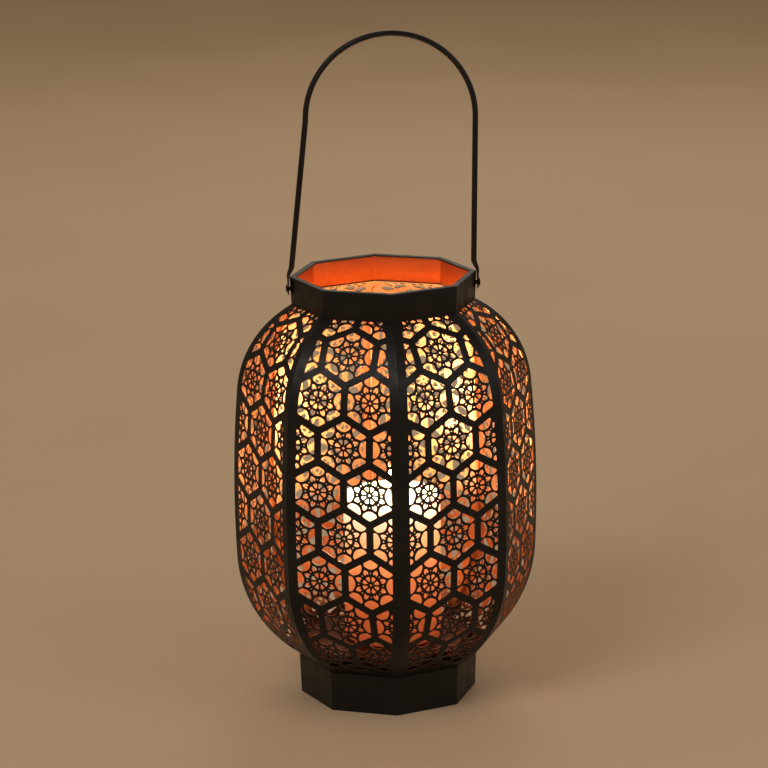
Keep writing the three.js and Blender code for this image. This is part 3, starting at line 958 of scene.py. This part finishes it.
def between(a, b):
    """The stops of a straight leg, without its ends."""
    count = WIRE_STOPS["leg"]
    return [tuple(p + (q - p) * i / count for p, q in zip(a, b)) for i in range(1, count)]


def add_handle(black):
    stops = handle_path()
    path = [(x, 0, z) for x, z, _, _ in stops]
    sizes = [(thick, wide) for _, _, thick, wide in stops]
    points, faces = tube_mesh(path, sizes, WIRE_STOPS["around"], (0, 1, 0))
    handle = make_object("handle", points, faces, [black], smooth_below=60.0)
    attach(handle, "handle")
    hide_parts("handle_bail")


def add_rivets(black):
    face = LUG_CENTRE + LUG["thick"] + GAP
    corner = COLLAR["bottom"] - BAND_CORNER
    tail = corner - RIVET["tail"] * math.tan(HALF_SIDE) - GAP
    tip, rim, dome = tail - RIVET["tail_height"], RIVET_EDGES["head_rim"], RIVET_EDGES["dome"]
    outline = [
        (0.0, tip),
        (RIVET["tail"] - RIVET_EDGES["tail"], tip),
        (RIVET["tail"], tip + RIVET_EDGES["tail"]),
        (RIVET["tail"], tail),
        (RIVET["shank"], tail),
        (RIVET["shank"], face),
        (RIVET["head"] - RIVET_EDGES["head_under"], face),
        (RIVET["head"], face + rim),
    ]
    for k in range(1, dome + 1):
        angle = math.pi / 2 * k / dome
        height = rim + (RIVET["head_height"] - rim) * math.sin(angle)
        outline.append((RIVET["head"] * math.cos(angle), face + height))
    points, faces = revolve(outline, RIVET_EDGES["around"])
    for name, side in (("right", 1), ("left", -1)):
        placed = [(side * z, side * y, RIVET_HEIGHT - x) for x, y, z in points]
        rivet = make_object(f"rivet_{name}", placed, faces, [black], smooth_below=50.0)
        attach(rivet, "lantern_body")
        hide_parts(f"handle_rivet_{name}")


def revolve(outline, around):
    """An outline of (radius, height) turned about Z, with a point where it meets the axis."""
    points, faces, rings = [], [], []
    for radius, height in outline:
        if radius < 1e-6:
            rings.append([len(points)])
            points.append((0.0, 0.0, height))
            continue
        rings.append(list(range(len(points), len(points) + around)))
        for k in range(around):
            angle = 2 * math.pi * k / around
            points.append((radius * math.cos(angle), radius * math.sin(angle), height))
    for low, high in zip(rings, rings[1:]):
        for k in range(around):
            m = (k + 1) % around
            if len(low) == 1:
                faces.append((low[0], high[m], high[k]))
            elif len(high) == 1:
                faces.append((low[k], low[m], high[0]))
            else:
                faces.append((low[k], low[m], high[m], high[k]))
    return points, faces


# ------------------------------------------------------------------ candle

PILLAR_ROWS = 44
WELL_STEPS = 12
POOL_STEPS = 8
WICK_STEPS = 26
FLAME_STEPS = 26
# Faces round each of them
AROUND = dict(pillar=96, pool=72, wick=16, flame=28)
# Unevenness of the wax: how deep and how close the dents are, wide ones and then small ones,
# which are drawn out up the pillar. The skin keeps the wax inside the CAD's pillar
DENTS = dict(deep=0.5, close=0.045, small_deep=0.16, small_close=0.16, squeeze=0.4, skin=0.02)
RIM_SAG = dict(deep=0.5, close=0.06)
POOL_EDGE = dict(reach=0.06, close=0.11)


def quarter(start, end, centre, steps):
    """Points of a quarter turn from start to end round a centre, start and end included."""
    (sx, sy), (ex, ey), (cx, cy) = start, end, centre
    turns = [math.pi / 2 * k / steps for k in range(steps + 1)]
    return [
        (
            cx + (sx - cx) * math.cos(t) + (ex - cx) * math.sin(t),
            cy + (sy - cy) * math.cos(t) + (ey - cy) * math.sin(t),
        )
        for t in turns
    ]


def candle_outline():
    """Half section of the pillar, from the middle of its foot to the middle of its well."""
    bottom = PAN["top"] + GAP
    radius, top, edge = CANDLE["radius"], CANDLE["top"], CANDLE["edge"]
    shoulder = radius - edge
    outline = [(0.0, bottom)]
    outline += quarter((shoulder, bottom), (radius, bottom + edge), (shoulder, bottom + edge), 4)
    height = top - bottom - 2 * edge
    outline += [(radius, bottom + edge + height * k / PILLAR_ROWS) for k in range(1, PILLAR_ROWS)]
    outline += quarter((radius, top - edge), (shoulder, top), (shoulder, top - edge), 6)
    well = radius - CANDLE["rim"]
    for k in range(WELL_STEPS + 1):
        reach = 1 - k / WELL_STEPS
        outline.append((well * reach, top - CANDLE["well"] * (1 - reach**3)))
    return outline


def add_candle(wax, melt):
    """The pillar, slightly uneven as used wax is, and the wax that has melted round the wick."""
    points, faces = revolve(candle_outline(), AROUND["pillar"])
    placed = []
    for x, y, z in points:
        away = math.hypot(x, y)
        if away > 1:
            lump = noise.noise(Vector((x, y, z)) * DENTS["close"]) * DENTS["deep"]
            squeezed = Vector((x, y, z * DENTS["squeeze"]))
            lump += noise.noise(squeezed * DENTS["small_close"]) * DENTS["small_deep"]
            pull = 1 - (abs(lump) + DENTS["skin"]) / CANDLE["radius"]
            x, y = x * pull, y * pull
        if z > CANDLE["top"] - CANDLE["edge"]:
            wave = noise.noise(Vector((x, y, 0)) * RIM_SAG["close"])
            z -= RIM_SAG["deep"] * (0.5 + 0.5 * wave)
        placed.append((x + CANDLE["offset"], y, z))
    candle = make_object("candle_wax", placed, faces, [wax], smooth_below=70.0)
    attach(candle, "candle_set")
    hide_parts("candle")

    level = WELL_FLOOR + POOL["level"]
    radius, depth = POOL["radius"], POOL["depth"]
    outline = [(0.0, level - depth)]
    for k in range(1, POOL_STEPS + 1):
        reach = k / POOL_STEPS
        outline.append((radius * reach, level - depth * (1 - reach**3)))
    outline += [(radius * share, level) for share in (0.97, 0.75, 0.5, 0.3, 0.15)]
    outline += [(away, level + rise) for away, rise in CREEP_UP]
    points, faces = revolve(outline, AROUND["pool"])
    wavy = []
    for x, y, z in points:
        edge = 1 + POOL_EDGE["reach"] * noise.noise(Vector((x, y, 0)) * POOL_EDGE["close"])
        wavy.append((x * edge + CANDLE["offset"], y * edge, z))
    pool = make_object("melted_wax", wavy, faces, [melt], smooth_below=70.0)
    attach(pool, "candle_set")


def add_wick(cotton):
    top = WELL_FLOOR + WICK["height"]
    foot = WELL_FLOOR - WICK["buried"]
    path, sizes = [], []
    for k in range(WICK_STEPS + 1):
        z = foot + (top - foot) * k / WICK_STEPS
        above = max(0.0, (z - WELL_FLOOR) / WICK["height"])
        path.append((CANDLE["offset"] - WICK["curl"] * above**1.6, 0, z))
        # The last sixth or so narrows towards the tip
        tip = min(1.0, 1 - 3.2 * (above - 0.85))
        sizes.append((WICK["radius"] * tip, 0.92 * WICK["radius"] * tip))
    points, faces = tube_mesh(path, sizes, AROUND["wick"], (0, 1, 0))
    wick = make_object("wick_cotton", points, faces, [cotton], smooth_below=60.0)
    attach(wick, "candle_set")
    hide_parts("wick")


def add_flame(glow):
    """A drop, fullest below its middle and drawn out above, and the light that it gives."""
    foot, tall = FLAME["foot"], FLAME["tip"] - FLAME["foot"]
    outline = [(0.0, foot)]
    for k in range(1, FLAME_STEPS):
        t = k / FLAME_STEPS
        width = math.sin(math.pi * t**0.72) ** 0.9 * (1 - 0.35 * t)
        outline.append((FLAME["radius"] * width, foot + tall * t))
    outline.append((0.0, foot + tall))
    points, faces = revolve(outline, AROUND["flame"])
    placed = []
    for x, y, z in points:
        lean = FLAME["lean"] * ((z - foot) / tall) ** 2
        placed.append((x + FLAME["x"] - lean, y, z))
    flame = make_object("candle_flame", placed, faces, [glow], smooth_below=70.0)
    flame.visible_shadow = False
    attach(flame, "candle_set")

    lamp = bpy.data.lights.new("flame_light", "POINT")
    lamp.color = FLAME_LIGHT
    lamp.energy = FLAME["watts"]
    lamp.shadow_soft_size = FLAME["radius"] * MM
    light = bpy.data.objects.new("flame_light", lamp)
    light.location = (FLAME["x"] * MM, 0.0, (foot + 0.5 * tall) * MM)
    bpy.context.scene.collection.objects.link(light)
    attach(light, "candle_set")


# ------------------------------------------------------------------ stage, light and camera


def add_floor():
    mesh = bpy.data.meshes.new("floor")
    corners = ((-1, -1), (1, -1), (1, 1), (-1, 1))
    points = [(FLOOR_HALF * x, FLOOR_HALF * y, 0) for x, y in corners]
    mesh.from_pydata(points, [], [(0, 1, 2, 3)])
    floor = bpy.data.objects.new("floor", mesh)
    bpy.context.scene.collection.objects.link(floor)
    n = Nodes("pale_floor")
    n.set(Base_Color=n.ramp(n.noise(3.0, 2.0), (0.3, FLOOR["deep"]), (0.7, FLOOR["pale"])))
    n.set(Roughness=0.8)
    mesh.materials.append(n.material)


def add_area(name, place, size, energy, colour):
    """A round soft light at a place, turned to the lantern."""
    lamp = bpy.data.lights.new(name, "AREA")
    lamp.shape = "DISK"
    lamp.size = size
    lamp.energy = energy
    lamp.color = colour
    light = bpy.data.objects.new(name, lamp)
    light.location = place
    away = Vector(place) - Vector(LIGHTS_AIM)
    light.rotation_mode = "QUATERNION"
    light.rotation_quaternion = away.to_track_quat("Z", "Y")
    bpy.context.scene.collection.objects.link(light)


def add_lights():
    add_area("key_light", (-1.3, -1.6, 1.9), size=1.3, energy=16.0, colour=(1.0, 0.97, 0.93))
    add_area("fill_light", (1.8, -1.2, 1.2), size=1.6, energy=6.0, colour=(0.94, 0.97, 1.0))
    add_area("back_light", (0.4, 2.0, 1.6), size=1.4, energy=8.0, colour=(1.0, 0.90, 0.78))
    world = bpy.data.worlds.new("studio")
    world.use_nodes = True
    background = world.node_tree.nodes["Background"].inputs
    background["Color"].default_value = STUDIO["colour"]
    background["Strength"].default_value = STUDIO["strength"]
    bpy.context.scene.world = world


def add_camera():
    """A camera that looks along +Y, turned a little to +X, tilted down and rolled."""
    turn, tilt, roll = (math.radians(CAMERA[k]) for k in ("turn", "tilt", "roll"))
    level = math.cos(tilt)
    ahead = Vector((level * math.sin(turn), level * math.cos(turn), math.sin(tilt)))
    right = Vector((math.cos(turn), -math.sin(turn), 0.0))
    up = right.cross(ahead)
    rolled_right = math.cos(roll) * right + math.sin(roll) * up
    rolled_up = math.cos(roll) * up - math.sin(roll) * right
    data = bpy.data.cameras.new("camera")
    data.sensor_width = 36.0
    data.lens = CAMERA["lens"]
    data.clip_start, data.clip_end = 0.1, 60.0
    camera = bpy.data.objects.new("camera", data)
    axes = Matrix((rolled_right, rolled_up, -ahead)).transposed().to_4x4()
    camera.matrix_world = Matrix.Translation(CAMERA["place"]) @ axes
    bpy.context.scene.collection.objects.link(camera)
    bpy.context.scene.camera = camera


# ------------------------------------------------------------------ assembly

add_camera()
add_lights()
add_floor()

black = black_paint()
copper = copper_paint("copper_inside_paint", PANEL_COPPER)

add_panels(black, copper, cut_edge())
add_collar(black, copper_paint("copper_collar_paint", COLLAR_COPPER))
add_base(black, copper)
add_pan(copper)
add_seams(copper)
add_handle(black)
add_rivets(black)
add_candle(candle_wax(), melted_wax())
add_wick(wick_cotton())
add_flame(flame_glow())

bpy.context.scene.view_settings.view_transform = "Standard"
